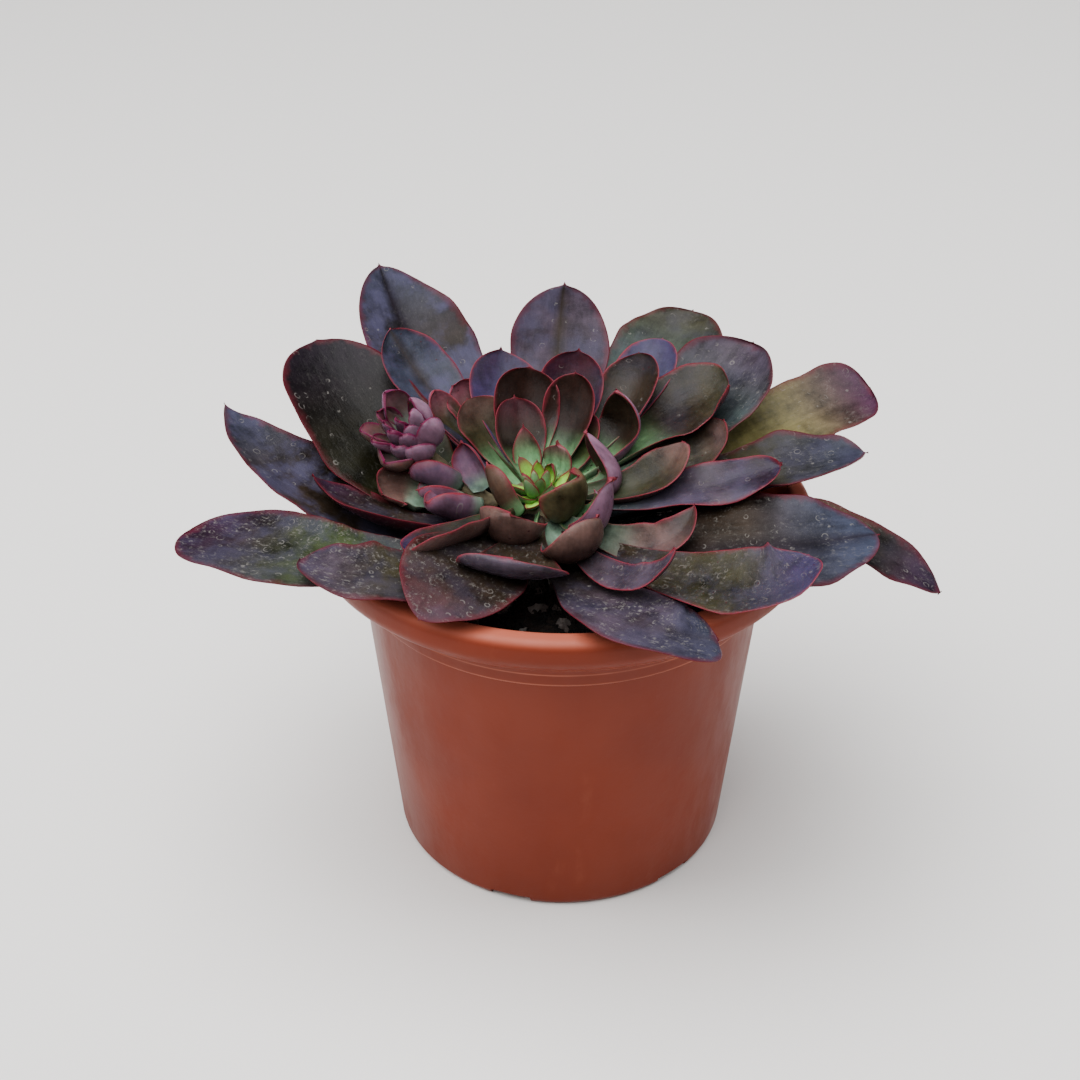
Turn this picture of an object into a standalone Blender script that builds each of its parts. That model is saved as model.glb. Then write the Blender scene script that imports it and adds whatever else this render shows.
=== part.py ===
"""Potted echeveria: a large rosette and a small side rosette in a 13 cm plastic nursery pot.

Lengths are in millimetres and turned into metres where the meshes are made. The origin lies on
the pot's axis, at the surface that the pot stands on; +Z is up and the view from the front looks
along +Y.
"""
import math

import bpy
import bmesh
from mathutils import Vector

MM = 0.001
GAP = 0.3                # clearance between pieces that only touch
FACETS = 0.12            # what the flats of a many-sided round take off its clearance

# Pot
RIM_RADIUS = 65.0        # outside of the rolled lip
RIM_TOP = 98.4
BASE_RADIUS = 45.0
FLOOR = 4.3              # height of the inside of the floor
RECESS = 2.5             # how far the drained ring of the base is raised
HUB_RADIUS = 15.0        # flat disc in the middle of the base
RECESS_RADIUS = 35.0
POT_STEPS = 48
DRAINS = 6
DRAIN_RADIUS = 4.5
DRAIN_RING = 25.0
NOTCH_WIDTH = 11.0
NOTCH_HEIGHT = 2.3
NOTCH_OVERRUN = 3.0      # how far a notch's cutter reaches past the ring on both sides
NOTCH_START = 73.0       # degrees, so that one notch shows left of the middle in front

# Soil
SOIL_TOP = 81.5
SOIL_FOOT = 41.8         # radius of its flat underside
SOIL_EDGE = 0.6          # how far its rim lies below the top
SOIL_RINGS = (50.0, 44.0, 37.0, 30.0, 23.0, 16.0)
SOIL_WAVE = 0.9          # height of the lumps on top
SOIL_STEPS = 32
HOLE_STEPS = 28

# Stem of the large rosette
STEM_X, STEM_Y = -6.0, -2.0
STEM_RADIUS = 10.0
STEM_FOOT = 79.0
CROWN = 104.0
STEM_OUTLINE = [(0.0, STEM_FOOT), (STEM_RADIUS, STEM_FOOT), (STEM_RADIUS, 98.5), (7.5, 102.0), (0.0, CROWN)]
STEM_STEPS = 20


def clear_scene():
    for thing in list(bpy.data.objects):
        bpy.data.objects.remove(thing, do_unlink=True)


def material(name, colour, roughness):
    made = bpy.data.materials.new(name)
    made.use_nodes = True
    shader = made.node_tree.nodes["Principled BSDF"]
    shader.inputs["Base Color"].default_value = (*colour, 1.0)
    shader.inputs["Roughness"].default_value = roughness
    shader.inputs["Metallic"].default_value = 0.0
    return made


def mesh_object(name, points, faces, look=None):
    """A mesh object from points in millimetres."""
    mesh = bpy.data.meshes.new(name)
    mesh.from_pydata([Vector(p) * MM for p in points], [], faces)
    mesh.validate()
    thing = bpy.data.objects.new(name, mesh)
    bpy.context.scene.collection.objects.link(thing)
    if look:
        mesh.materials.append(look)
    return thing


def smooth(thing, angle=40.0):
    thing.data.shade_smooth()
    thing.data.set_sharp_from_angle(angle=math.radians(angle))


def turned(name, profile, steps, look):
    """Spin a closed outline of (radius, height) pairs, listed anticlockwise, about the pot's axis."""
    count = len(profile)
    points, faces, index = [], [], {}
    for i, (radius, height) in enumerate(profile):
        turns = 1 if radius == 0 else steps
        for k in range(turns):
            angle = 2 * math.pi * k / steps
            index[i, k] = len(points)
            points.append((radius * math.cos(angle), radius * math.sin(angle), height))
        for k in range(turns, steps):
            index[i, k] = index[i, 0]
    for i in range(count):
        j = (i + 1) % count
        for k in range(steps):
            n = (k + 1) % steps
            ring = [index[i, k], index[i, n], index[j, n], index[j, k]]
            corners = []
            for corner in ring:
                if corner not in corners:
                    corners.append(corner)
            if len(corners) > 2:
                faces.append(corners)
    return mesh_object(name, points, faces, look)


def cut(thing, cutter):
    """Subtract the cutter and remove it."""
    step = thing.modifiers.new("cut", "BOOLEAN")
    step.operation = "DIFFERENCE"
    step.solver = "EXACT"
    step.object = cutter
    apply_modifiers(thing)
    bpy.data.objects.remove(cutter, do_unlink=True)


def apply_modifiers(thing):
    seen = thing.evaluated_get(bpy.context.evaluated_depsgraph_get())
    mesh = bpy.data.meshes.new_from_object(seen)
    thing.modifiers.clear()
    thing.data = mesh


def fuse(name, pieces, look):
    """One solid from overlapping pieces: a Boolean union with a collection of them."""
    body = pieces[0]
    rest = bpy.data.collections.new("fused pieces")
    bpy.context.scene.collection.children.link(rest)
    for piece in pieces[1:]:
        bpy.context.scene.collection.objects.unlink(piece)
        rest.objects.link(piece)
    step = body.modifiers.new("join", "BOOLEAN")
    step.operation = "UNION"
    step.operand_type = "COLLECTION"
    step.collection = rest
    step.solver = "MANIFOLD"
    apply_modifiers(body)
    for piece in list(rest.objects):
        bpy.data.objects.remove(piece, do_unlink=True)
    bpy.data.collections.remove(rest)
    body.name = name
    body.data.name = name
    body.data.materials.clear()
    body.data.materials.append(look)
    return body


def box(name, size, centre, turn):
    """A plain block, size and centre in millimetres, turned about the pot's axis."""
    mesh = bpy.data.meshes.new(name)
    shape = bmesh.new()
    bmesh.ops.create_cube(shape, size=1.0)
    for vert in shape.verts:
        x = vert.co.x * size[0] + centre[0]
        y = vert.co.y * size[1] + centre[1]
        z = vert.co.z * size[2] + centre[2]
        vert.co = Vector((x * math.cos(turn) - y * math.sin(turn),
                          x * math.sin(turn) + y * math.cos(turn), z)) * MM
    shape.to_mesh(mesh)
    shape.free()
    thing = bpy.data.objects.new(name, mesh)
    bpy.context.scene.collection.objects.link(thing)
    return thing


def peg(name, radius, low, high, x, y, steps=20):
    """An upright round cutter."""
    points, faces = [], []
    for height in (low, high):
        for k in range(steps):
            angle = 2 * math.pi * k / steps
            points.append((x + radius * math.cos(angle), y + radius * math.sin(angle), height))
    for k in range(steps):
        n = (k + 1) % steps
        faces.append([k, n, steps + n, steps + k])
    faces.append(list(range(steps - 1, -1, -1)))
    faces.append(list(range(steps, 2 * steps)))
    return mesh_object(name, points, faces)


# Pot: one thin injection-moulded shell with a rolled lip, two fine steps under it, and a base
# whose outer ring is notched so that water from the drain holes can run out.
POT_OUTSIDE = [
    (HUB_RADIUS, 0.0), (HUB_RADIUS + 1.0, RECESS), (RECESS_RADIUS, RECESS), (RECESS_RADIUS + 1.0, 0.0),
    (BASE_RADIUS - 1.3, 0.0), (BASE_RADIUS, 1.2), (52.6, 78.4), (53.3, 79.0), (54.0, 84.0),
    (59.8, 88.0), (62.3, 89.4), (62.9, 90.2), (64.2, 91.3), (RIM_RADIUS, 93.6), (64.4, 96.2),
    (62.9, 97.8), (61.0, RIM_TOP),
]
POT_INSIDE = [
    (59.6, 97.9), (58.9, 96.8), (58.2, 90.0), (52.4, 84.6), (51.0, 78.4), (45.2, FLOOR + 16.0),
    (BASE_RADIUS - 1.4, FLOOR + 1.2), (BASE_RADIUS - 2.6, FLOOR), (0.0, FLOOR),
]


def make_pot():
    look = material("terracotta coloured plastic", (0.50, 0.17, 0.11), 0.45)
    pot = turned("pot", [(0.0, 0.0)] + POT_OUTSIDE + POT_INSIDE, POT_STEPS, look)
    for k in range(DRAINS):
        middle = math.radians(NOTCH_START + 360.0 / DRAINS * k)
        length = BASE_RADIUS - RECESS_RADIUS + 2 * NOTCH_OVERRUN
        place = (BASE_RADIUS + RECESS_RADIUS) / 2
        cut(pot, box("notch", (length, NOTCH_WIDTH, 2 * NOTCH_HEIGHT), (place, 0.0, 0.0), middle))
        beside = middle + math.pi / DRAINS
        cut(pot, peg("drain", DRAIN_RADIUS, RECESS - 1.0, FLOOR + 1.0,
                     DRAIN_RING * math.cos(beside), DRAIN_RING * math.sin(beside)))
    smooth(pot)
    return pot


def inner_radius(height):
    """Radius of the pot's inside wall at a height."""
    for (r_high, z_high), (r_low, z_low) in zip(POT_INSIDE, POT_INSIDE[1:]):
        if z_low <= height <= z_high:
            share = (height - z_low) / (z_high - z_low)
            return r_low + share * (r_high - r_low)
    return POT_INSIDE[-2][0]


def soil_height(x, y):
    """The lumpy top of the soil, a few low waves that leave the edge level."""
    waves = (math.sin(x * 0.31 + 1.0) * math.cos(y * 0.27) + 0.6 * math.sin(y * 0.53 + x * 0.19)
             + 0.4 * math.cos(x * 0.71 - y * 0.43))
    edge = 1.0 - (math.hypot(x, y) / 53.0) ** 6
    return SOIL_TOP + SOIL_WAVE * waves * max(0.0, edge)


def make_soil():
    """Soil: fills the pot, with a plain round hole for the stem."""
    look = material("dark potting soil", (0.03, 0.022, 0.018), 0.95)
    foot = FLOOR + GAP
    heights = [FLOOR + 1.6, FLOOR + 16.0, 78.4, SOIL_TOP - SOIL_EDGE]
    profile = [(0.0, foot), (SOIL_FOOT, foot)]
    profile += [(inner_radius(z) - GAP - FACETS, z) for z in heights]
    profile += [(radius, SOIL_TOP) for radius in SOIL_RINGS] + [(0.0, SOIL_TOP)]
    soil = turned("soil", profile, SOIL_STEPS, look)
    for vert in soil.data.vertices:
        if vert.co.z > (SOIL_TOP - SOIL_EDGE / 2) * MM:
            vert.co.z = soil_height(vert.co.x / MM, vert.co.y / MM) * MM
    hole = peg("stem hole", STEM_RADIUS + GAP + FACETS, STEM_FOOT - GAP, CROWN, STEM_X, STEM_Y, HOLE_STEPS)
    cut(soil, hole)
    smooth(soil)
    return soil


# Leaves. Each leaf is a thick blade along an arch from its root on the stem, through a knee half
# way, to its tip. Its outline widens from a narrow neck to a belly and closes in a blunt point.
# cup is the half angle of the curve across the blade, and roll turns the blade about its length.
NECK, BELLY, BLUNT, POINT = 0.30, 0.66, 2.0, 1.6
THINNEST = 0.6
TIP_HALF = 0.5           # half the width at which the tip is closed
ROOT_CLEARANCE = 1.1     # from the stem to the middle of an outer leaf's root


def blade(name, root, knee, tip, wide, thick=3.2, roll=0.0, cup=25.0, neck=NECK, belly=BELLY,
          blunt=BLUNT, point=POINT, stations=(0.0, 0.2, 0.42, 0.6, 0.76, 0.89, 0.97, 1.0), across=5):
    root, knee, tip = Vector(root), Vector(knee), Vector(tip)
    handle = 2 * knee - (root + tip) / 2
    cup = math.radians(cup)
    roll = math.radians(roll)
    points = []
    level = Vector((0, 0, 1)).cross(handle - root)
    for t in stations:
        middle = (1 - t) ** 2 * root + 2 * t * (1 - t) * handle + t * t * tip
        along = ((1 - t) * (handle - root) + t * (tip - handle)).normalized()
        # carried from station to station, so a tip that stands upright doesn't twist
        level = (level - along * level.dot(along)).normalized()
        over = along.cross(level)
        side = level * math.cos(roll) + over * math.sin(roll)
        up = over * math.cos(roll) - level * math.sin(roll)
        if t < belly:
            share = t / belly
            half = neck + (1 - neck) * share * share * (3 - 2 * share)
        else:
            half = (1 - ((t - belly) / (1 - belly)) ** blunt) ** (1 / point)
        half = max(half * wide / 2, TIP_HALF)
        # fullest a third of the way along, thin at the tip and at the edges
        body = thick * (0.8 + 0.2 * math.sin(math.pi * min(t / 0.7, 1.0))) * (1 - 0.45 * t ** 3)
        for face in (0, 1):
            for j in range(across):
                s = -1 + 2 * j / (across - 1)
                if face:
                    s = -s
                depth = face * max(body * (1 - 0.68 * s * s), THINNEST)
                across_x = math.sin(cup * s) * (half / cup + depth)
                across_z = (1 - math.cos(cup * s)) * (half / cup + depth) - depth
                points.append(middle + side * across_x + up * across_z)
    ring = 2 * across
    faces = []
    for i in range(len(stations) - 1):
        for j in range(ring):
            a, b = i * ring + j, i * ring + (j + 1) % ring
            c, d = a + ring, b + ring
            # the diagonal runs the same way on both faces of the blade
            if j < across - 1:
                faces += [[a, d, c], [a, b, d]]
            else:
                faces += [[a, b, c], [b, d, c]]
    last = (len(stations) - 1) * ring
    faces.append(list(range(ring - 1, -1, -1)))
    faces.append([last + j for j in range(ring)])
    thing = mesh_object(name, points, faces)
    shape = bmesh.new()
    shape.from_mesh(thing.data)
    bmesh.ops.triangulate(shape, faces=[f for f in shape.faces if len(f.verts) > 3])
    bmesh.ops.recalc_face_normals(shape, faces=shape.faces)
    shape.to_mesh(thing.data)
    shape.free()
    return thing


def on_stem(turn, height, radius=STEM_RADIUS + ROOT_CLEARANCE):
    """A point beside the stem, at a compass angle in degrees from +X towards +Y."""
    angle = math.radians(turn)
    return (STEM_X + radius * math.cos(angle), STEM_Y + radius * math.sin(angle), height)


# The large outer leaves, clockwise from the low one at the left. Each row gives the root's
# compass angle and height on the stem, the knee, the tip, the width, and how its shape differs.
OUTER_LEAVES = [
    (213, 88.2, (-50, -35, 101.8), (-94, -22, 100), 29,
     dict(roll=-11, cup=12, belly=0.8, blunt=1.8, point=1.4)),
    (178, 85.5, (-59, -4, 102), (-90, 22, 115), 25, dict(roll=-15, belly=0.5, blunt=1.6, point=1.1)),
    (198, 96.4, (-41, -15.2, 102.3), (-64, -3, 107.6), 16, dict(roll=8, point=1.2)),
    (166, 89.8, (-44, 7, 107), (-74, 39, 122), 36, dict(roll=-28, cup=20, blunt=3.5, belly=0.72)),
    (122, 85.8, (-35, 45, 109), (-53, 74, 133), 31, dict(cup=30)),
    (89, 89.5, (-2, 44, 110), (0, 64, 132), 27, dict(cup=20, point=1.2)),
    (65, 85.6, (21, 45, 105), (37, 72, 120), 33, dict(cup=20, blunt=2.4)),
    (47, 95.5, (28, 25, 105), (52, 46, 122), 36, dict(cup=20, blunt=2.4)),
    (17, 86.0, (46, 26, 99.6), (84, 41, 111), 28, dict(roll=10, cup=20, blunt=3.0, belly=0.72)),
    (4, 93.8, (42, 2, 104.5), (78, 3, 112), 26, dict(point=1.2)),
    (338, 85.6, (51, -13, 101.5), (94, -27, 89), 17, dict(roll=5, cup=20)),
    (334, 90.3, (38, -28, 102), (78, -24, 104), 37, dict(neck=0.24, roll=20, cup=12, belly=0.6, point=1.2)),
    (291, 88.8, (14, -54, 101), (36, -62, 98), 28, dict(cup=10, point=2.0)),
    (248, 94.0, (-22, -43, 105.4), (-33, -61, 102.3), 29,
     dict(roll=-12, cup=8, belly=0.6, blunt=1.7, point=1.2)),
    (231, 91.4, (-33, -42, 102.8), (-62, -43, 105.6), 22, dict(roll=-17, cup=8)),
]


def make_outer_leaves():
    look = material("purple brown leaf", (0.13, 0.09, 0.11), 0.55)
    leaves = []
    for number, (turn, height, knee, tip, wide, shape) in enumerate(OUTER_LEAVES, start=1):
        leaf = blade(f"outer_leaf_{number:02d}", on_stem(turn, height), knee, tip, wide, **shape)
        leaf.data.materials.append(look)
        smooth(leaf)
        leaves.append(leaf)
    return leaves


# The crowded inner leaves of the large rosette, grown together with its stem. Rows run from the
# back, clockwise, in three rings: the root's compass angle and height, the knee, the tip, the width
# and how the shape differs.
RING_STATIONS = (0.0, 0.25, 0.5, 0.72, 0.9, 1.0)
INNER_LEAVES = [
    (130, 99.5, (-34, 27, 114.5), (-47, 39, 129), 20, dict(cup=35)),
    (105, 100.0, (-15, 25, 112), (-17, 39, 124), 20, dict(cup=30, point=1.2)),
    (75, 99.0, (1, 24, 112), (4, 34, 126), 18, dict(cup=40)),
    (58, 100.0, (15, 24, 112), (20, 36, 124), 17, dict(cup=45, blunt=2.6)),
    (48, 98.5, (17, 31, 111), (27, 47, 123), 20, dict(cup=30)),
    (36, 100.0, (26, 21, 111), (44, 25, 119.5), 26, dict(cup=35, blunt=3.0)),
    (20, 99.5, (29, 12, 108.5), (40, 15, 118), 18, dict(cup=35, roll=20)),
    (-10, 99.5, (29, -9, 107), (55, -7, 113.5), 19, dict(cup=20, roll=15)),
    (-35, 100.0, (19, -24, 102.5), (34, -17, 109), 25, dict(cup=30, roll=25, belly=0.55)),
    (-47, 98.5, (33, -47, 106), (58, -50, 114), 24, dict(roll=8, cup=20, belly=0.6)),
    (-60, 99.5, (11, -33, 102), (18, -54, 110), 26, dict(cup=25, roll=10, blunt=3.0)),
    (262, 101.7, (-9, -31, 105.4), (-12, -51, 110), 27, dict(cup=15, blunt=4.0, neck=0.2, belly=0.74)),
    (225, 101.2, (-26, -30, 108.6), (-37, -45, 111.4), 17, dict(cup=45)),
    (105, 101.5, (-10, 16, 112), (-9, 25, 125), 18, dict(cup=40, blunt=3.0)),
    (75, 102.0, (1, 15, 112), (3, 22, 125), 15, dict(cup=40, blunt=3.0)),
    (45, 101.5, (15, 13, 110), (13, 16, 122), 17, dict(cup=60)),
    (15, 102.0, (13, -1, 107), (6, 5, 116), 15, dict(cup=60)),
    (0, 100.5, (21, -4, 106), (31, 0, 116), 17, dict(cup=45, roll=20)),
    (-40, 101.0, (11, -13, 104), (10, -13, 115), 17, dict(cup=60)),
    (-80, 100.0, (1, -20, 102), (0, -18, 114), 20, dict(cup=55, blunt=3.0)),
    (-72, 99.5, (2, -29, 100.5), (3, -33, 107), 22, dict(cup=65, roll=10)),
    (250, 101.7, (-13, -22, 102.8), (-12, -28, 111.5), 21, dict(cup=55, blunt=3.0)),
    (175, 102.0, (-17, -4, 103), (-20, -1, 109), 14, dict(cup=45)),
    (215, 101.0, (-22, -13, 105), (-34, -19, 109), 12, dict(cup=50)),
    (204, 100.5, (-28, -10, 104.5), (-46, -14, 108), 14, dict(cup=40)),
    (195, 102.0, (-20, -6, 106), (-27, -3, 112), 11, dict(cup=50)),
    (140, 100.5, (-19, 16, 108), (-30, 28, 116), 14, dict(cup=30)),
    (125, 101.5, (-17, 13, 109), (-26, 22, 117), 16, dict(cup=40)),
    (110, 102.5, (-11, 11, 109), (-13, 20, 118), 14, dict(cup=45)),
    (110, 102.5, (-10, 5, 108), (-11, 8, 117), 9, dict(cup=50)),
    (75, 103.0, (-3, 4, 106), (-3, 7, 112), 13, dict(cup=40, blunt=3.0)),
    (60, 103.0, (3, 10, 109), (7, 16, 116), 13, dict(cup=45)),
]
TURN = 137.5             # degrees from one small leaf to the next
HEART_LEAVES = 9
HEART_STATIONS = (0.0, 0.4, 0.75, 1.0)
HEART_REACH = (2.0, 6.0)     # how far from the middle the first and the last heart leaf's tip lies
HEART_RISE = (7.0, 4.2)      # height of their tips above the crown
HEART_WIDTH = (3.5, 5.9)
HEART_THICK = 1.6
HEART_KNEE = 2.0             # height of their knees above the crown


def between(ends, share):
    """The value part of the way from the first to the last of a row."""
    return ends[0] + (ends[1] - ends[0]) * share


def make_stem():
    """The thick stem, closed above in a low crown."""
    stem = turned("stem", STEM_OUTLINE, STEM_STEPS, None)
    for vert in stem.data.vertices:
        vert.co.x += STEM_X * MM
        vert.co.y += STEM_Y * MM
    return stem


def make_rosette():
    """The large rosette: stem, inner leaves and the small leaves of its heart as one solid."""
    look = material("green red edged leaf", (0.16, 0.15, 0.10), 0.5)
    pieces = [make_stem()]
    for turn, height, knee, tip, wide, shape in INNER_LEAVES:
        pieces.append(blade("inner leaf", on_stem(turn, height, STEM_RADIUS / 2), knee, tip, wide,
                            stations=RING_STATIONS, **shape))
    for k in range(HEART_LEAVES):
        share = k / (HEART_LEAVES - 1)
        reach = between(HEART_REACH, share)
        root = on_stem(TURN * k, CROWN - HEART_KNEE, 0.6)
        knee = on_stem(TURN * k, CROWN + HEART_KNEE, 1.2 * reach)
        tip = on_stem(TURN * k, CROWN + between(HEART_RISE, share), reach)
        pieces.append(blade("heart leaf", root, knee, tip, between(HEART_WIDTH, share), thick=HEART_THICK,
                            cup=50, neck=0.6, stations=HEART_STATIONS, across=3))
    rosette = fuse("rosette", pieces, look)
    smooth(rosette)
    return rosette


# Small rosette on a side shoot, tight and egg-leaved, left of the large one.
SHOOT_START = (-17.6, -0.6, 97.4)
SHOOT_BEND = (-27.0, 2.0, 103.0)
OFFSET_BASE = (-40.0, 5.0, 112.0)
OFFSET_AXIS = (-0.15, -0.35, 0.92)
SHOOT_RADIUS = 2.3
SHOOT_SIDES = 8
SHOOT_ROWS = 6
OFFSET_LEAVES = 18
OFFSET_STATIONS = (0.0, 0.35, 0.7, 0.9, 1.0)
OFFSET_LEAN = (12.0, 72.0)   # degrees from the axis, of the first and the last leaf
OFFSET_LENGTH = (8.5, 14.0)
OFFSET_ROOT = (3.3, -1.8)    # height of their roots along the axis
OFFSET_WIDTH = (7.5, 10.5)
OFFSET_THICK = 2.4
OFFSET_BULGE = 1.3           # how far the middle of a leaf swells away from the axis


def make_shoot():
    """The bare side shoot, one bent tube that ends inside the small rosette."""
    start, bend, end = Vector(SHOOT_START), Vector(SHOOT_BEND), Vector(OFFSET_BASE)
    handle = 2 * bend - (start + end) / 2
    points, faces = [], []
    for i in range(SHOOT_ROWS):
        t = i / (SHOOT_ROWS - 1)
        middle = (1 - t) ** 2 * start + 2 * t * (1 - t) * handle + t * t * end
        along = ((1 - t) * (handle - start) + t * (end - handle)).normalized()
        side = Vector((0, 0, 1)).cross(along).normalized()
        up = along.cross(side)
        for k in range(SHOOT_SIDES):
            angle = 2 * math.pi * k / SHOOT_SIDES
            points.append(middle + (side * math.cos(angle) + up * math.sin(angle)) * SHOOT_RADIUS)
    for i in range(SHOOT_ROWS - 1):
        for k in range(SHOOT_SIDES):
            n = (k + 1) % SHOOT_SIDES
            a, b = i * SHOOT_SIDES, (i + 1) * SHOOT_SIDES
            faces.append([a + k, a + n, b + n, b + k])
    faces.append(list(range(SHOOT_SIDES - 1, -1, -1)))
    faces.append(list(range((SHOOT_ROWS - 1) * SHOOT_SIDES, SHOOT_ROWS * SHOOT_SIDES)))
    return mesh_object("shoot", points, faces)


def make_offset():
    """The small rosette: its shoot and egg-shaped leaves as one solid."""
    look = material("lavender pink leaf", (0.36, 0.24, 0.30), 0.5)
    base, axis = Vector(OFFSET_BASE), Vector(OFFSET_AXIS).normalized()
    first = axis.cross(Vector((0, 1, 0))).normalized()
    second = axis.cross(first)
    pieces = [make_shoot()]
    for k in range(OFFSET_LEAVES):
        share = k / (OFFSET_LEAVES - 1)
        turn = math.radians(TURN * k)
        out = first * math.cos(turn) + second * math.sin(turn)
        lean = math.radians(between(OFFSET_LEAN, share))
        curl = 0.8 * lean
        length = between(OFFSET_LENGTH, share)
        root = base + axis * between(OFFSET_ROOT, share) + out * 0.8
        middle = root + (axis * math.cos(lean) + out * math.sin(lean)) * length * 0.55
        tip = root + (axis * math.cos(curl) + out * math.sin(curl)) * length
        pieces.append(blade("small leaf", root, middle + out * OFFSET_BULGE, tip,
                            between(OFFSET_WIDTH, share), thick=OFFSET_THICK, cup=45, neck=0.6,
                            belly=0.6, stations=OFFSET_STATIONS, across=3))
    offset = fuse("offset_rosette", pieces, look)
    smooth(offset)
    return offset


def main():
    clear_scene()
    make_pot()
    make_soil()
    make_outer_leaves()
    make_rosette()
    make_offset()


main()
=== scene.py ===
"""Looks of a potted echeveria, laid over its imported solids.

The sections follow the plant as it is potted up: pot, soil, outer leaves, large rosette, side
rosette. Tables are in millimetres, in the frame of the solids: the origin is under the middle of
the pot, +Z is up and the front looks along +Y.
"""

import math

import bmesh
import bpy
from mathutils import Matrix, Vector


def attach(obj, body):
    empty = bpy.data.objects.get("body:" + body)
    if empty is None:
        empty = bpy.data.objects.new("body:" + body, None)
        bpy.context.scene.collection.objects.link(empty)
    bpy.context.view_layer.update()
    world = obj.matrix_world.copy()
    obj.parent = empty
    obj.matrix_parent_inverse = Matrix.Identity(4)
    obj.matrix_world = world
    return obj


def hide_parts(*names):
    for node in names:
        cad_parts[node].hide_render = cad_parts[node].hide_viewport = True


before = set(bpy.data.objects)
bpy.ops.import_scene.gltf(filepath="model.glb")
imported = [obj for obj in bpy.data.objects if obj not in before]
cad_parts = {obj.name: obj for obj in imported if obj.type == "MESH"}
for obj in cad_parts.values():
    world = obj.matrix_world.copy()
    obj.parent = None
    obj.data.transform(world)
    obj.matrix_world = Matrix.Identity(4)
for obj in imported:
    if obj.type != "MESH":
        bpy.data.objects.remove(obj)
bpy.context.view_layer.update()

# Camera: in front of the pot and above it, looking down at the rosette by a little over 30
# degrees. Its place and lens were fitted to the lip and base of the pot.
CAMERA_PLACE = (0.0, -0.4016, 0.3346)
CAMERA_PITCH, CAMERA_YAW, CAMERA_ROLL = 0.5532, -0.0147, -0.0007
camera_data = bpy.data.cameras.new("camera")
camera_data.lens = 60.0
camera_data.sensor_width = 36.0
camera_data.clip_start = 0.01
camera = bpy.data.objects.new("camera", camera_data)
bpy.context.scene.collection.objects.link(camera)
ahead = Vector((math.sin(CAMERA_YAW) * math.cos(CAMERA_PITCH),
                math.cos(CAMERA_YAW) * math.cos(CAMERA_PITCH), -math.sin(CAMERA_PITCH)))
level = Vector((math.cos(CAMERA_YAW), -math.sin(CAMERA_YAW), 0.0))
right = Matrix.Rotation(CAMERA_ROLL, 3, ahead) @ level
turned = Matrix((right, right.cross(ahead), -ahead)).transposed().to_4x4()
camera.matrix_world = Matrix.Translation(CAMERA_PLACE) @ turned
bpy.context.scene.camera = camera

# Floor: a plain pale cloth that runs far beyond the picture, so that no edge shows from any side.
FLOOR_REACH = 8.0
floor_corners = [(x * FLOOR_REACH, y * FLOOR_REACH, 0.0) for x, y in ((-1, -1), (1, -1), (1, 1), (-1, 1))]
floor_mesh = bpy.data.meshes.new("floor")
floor_mesh.from_pydata(floor_corners, [], [(0, 1, 2, 3)])
floor = bpy.data.objects.new("floor", floor_mesh)
bpy.context.scene.collection.objects.link(floor)
floor_finish = bpy.data.materials.new("pale cloth")
floor_finish.use_nodes = True
floor_shader = floor_finish.node_tree.nodes["Principled BSDF"]
floor_shader.inputs["Base Color"].default_value = (0.74, 0.72, 0.70, 1.0)
floor_shader.inputs["Roughness"].default_value = 0.9
floor_mesh.materials.append(floor_finish)

# Light: a wide soft light from above that reaches the whole floor, soft windows above, left, right
# and in front of the plant, and a pale sky that fills the shadows and is brighter behind the plant.
LIT_POINT = Vector((0.0, 0.0, 0.06))
SKY_LIGHT, SKY_SEEN = 0.12, 1.4
daylight_data = bpy.data.lights.new("wide daylight", "SUN")
daylight_data.energy = 4.4
daylight_data.angle = math.radians(75)
daylight = bpy.data.objects.new("wide daylight", daylight_data)
daylight.rotation_euler = (math.radians(8), math.radians(-10), 0.0)
bpy.context.scene.collection.objects.link(daylight)
STUDIO = [
    ("window above", (-0.2, 0.0, 0.95), 0.7, 9.0, (0.97, 0.98, 1.0)),
    ("window left", (-0.9, -0.1, 0.5), 0.6, 4.0, (1.0, 0.97, 0.95)),
    ("window right", (0.9, 0.1, 0.5), 0.6, 4.0, (0.96, 0.97, 1.0)),
    ("window front", (-0.15, -0.85, 0.95), 0.6, 3.0, (1.0, 0.99, 0.97)),
]
for light_name, place, size, power, colour in STUDIO:
    light_data = bpy.data.lights.new(light_name, "AREA")
    light_data.size = size
    light_data.energy = power
    light_data.color = colour
    light = bpy.data.objects.new(light_name, light_data)
    light.location = place
    light.rotation_euler = (LIT_POINT - Vector(place)).to_track_quat("-Z", "Y").to_euler()
    bpy.context.scene.collection.objects.link(light)
sky = bpy.data.worlds.new("pale sky")
sky.use_nodes = True
sky.node_tree.nodes["Background"].inputs["Color"].default_value = (0.93, 0.95, 1.0, 1.0)
seen_directly = sky.node_tree.nodes.new("ShaderNodeLightPath").outputs["Is Camera Ray"]
brightness = sky.node_tree.nodes.new("ShaderNodeMapRange")
brightness.inputs["To Min"].default_value = SKY_LIGHT
brightness.inputs["To Max"].default_value = SKY_SEEN
sky.node_tree.links.new(seen_directly, brightness.inputs["Value"])
sky.node_tree.links.new(brightness.outputs[0], sky.node_tree.nodes["Background"].inputs["Strength"])
bpy.context.scene.world = sky

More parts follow.
